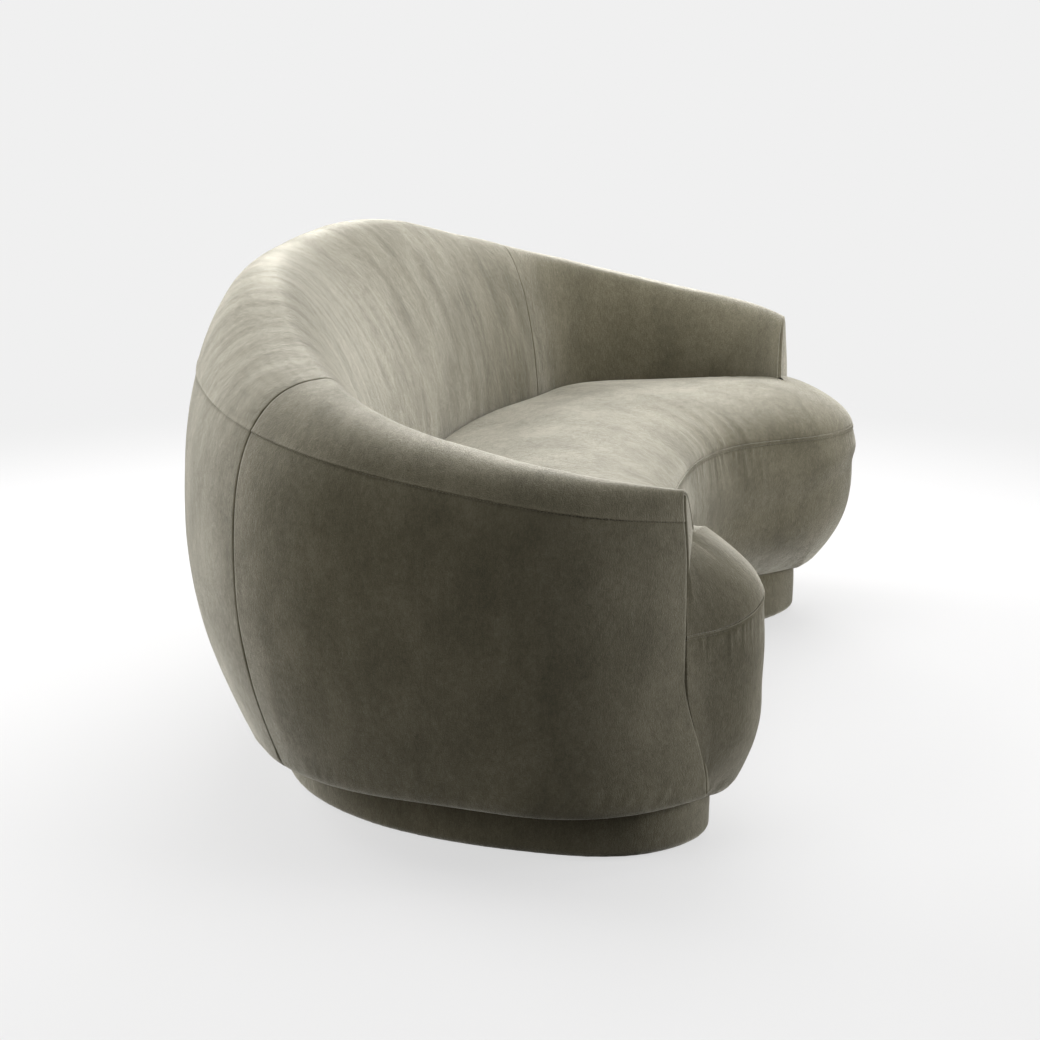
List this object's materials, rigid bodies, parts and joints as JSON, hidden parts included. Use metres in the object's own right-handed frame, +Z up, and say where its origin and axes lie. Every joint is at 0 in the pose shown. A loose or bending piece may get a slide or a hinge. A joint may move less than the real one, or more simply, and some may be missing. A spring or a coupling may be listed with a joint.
{
  "type": "curved sofa",
  "caption": "Compact curved sofa with a wrap-round back and arms, a tight kidney-shaped seat with rounded lobes and a recessed upholstered plinth.",
  "frame": {"origin": "on the floor under the middle of the whole sofa's box", "axes": "+X towards the sitter's left, -Y the way the sitter faces, +Z up"},
  "size_m": [1.8008, 0.9987, 0.7732],
  "materials": {
    "velvet": "short-pile olive-grey velvet",
    "wadding": "white polyester wadding",
    "foam": "open-cell foam",
    "felt": "pressed fibre felt",
    "spring_steel": "black phosphate",
    "zinc_steel": "zinc plated",
    "glide_plastic": "black moulded plastic",
    "plywood": "raw birch plywood",
    "hardwood": "raw sawn beech",
    "dust_cloth": "black spun-bonded cloth"
  },
  "bodies": {
    "root": {"arm_belt_rail_left": "plywood", "arm_belt_rail_right": "plywood", "arm_facing_left": "velvet", "arm_facing_pad_left": "wadding", "arm_facing_pad_right": "wadding", "arm_facing_right": "velvet", "arm_foam_left": "foam", "arm_foam_right": "foam", "arm_front_post_left": "hardwood", "arm_front_post_right": "hardwood", "arm_inner_cover_left": "velvet", "arm_inner_cover_right": "velvet", "arm_outer_cover_left": "velvet", "arm_outer_cover_right": "velvet", "arm_ribs": "plywood", "arm_top_rail_left": "plywood", "arm_top_rail_right": "plywood", "arm_wadding_left": "wadding", "arm_wadding_right": "wadding", "back_belt_rail": "plywood", "back_foam": "foam", "back_inner_cover": "velvet", "back_outer_cover": "velvet", "back_ribs": "plywood", "back_top_rail": "plywood", "back_wadding": "wadding", "base_board": "plywood", "dust_cover": "dust_cloth", "floor_glides": "glide_plastic", "frame_screws": "zinc_steel", "lobe_foam_left": "foam", "lobe_foam_right": "foam", "plinth_battens": "hardwood", "plinth_blocks": "hardwood", "plinth_bolts": "zinc_steel", "plinth_cover": "velvet", "plinth_nuts": "zinc_steel", "plinth_padding": "wadding", "plinth_rim": "plywood", "seat_back_rail": "hardwood", "seat_border_cover": "velvet", "seat_border_foam": "foam", "seat_cross_rails": "hardwood", "seat_foam_core": "foam", "seat_foam_topper": "foam", "seat_front_rail": "hardwood", "seat_side_rails": "hardwood", "seat_top_cover": "velvet", "seat_wadding": "wadding", "seat_welt": "velvet", "sinuous_springs": "spring_steel", "spring_clips": "zinc_steel", "spring_insulator": "felt"}
  },
  "joints": []
}
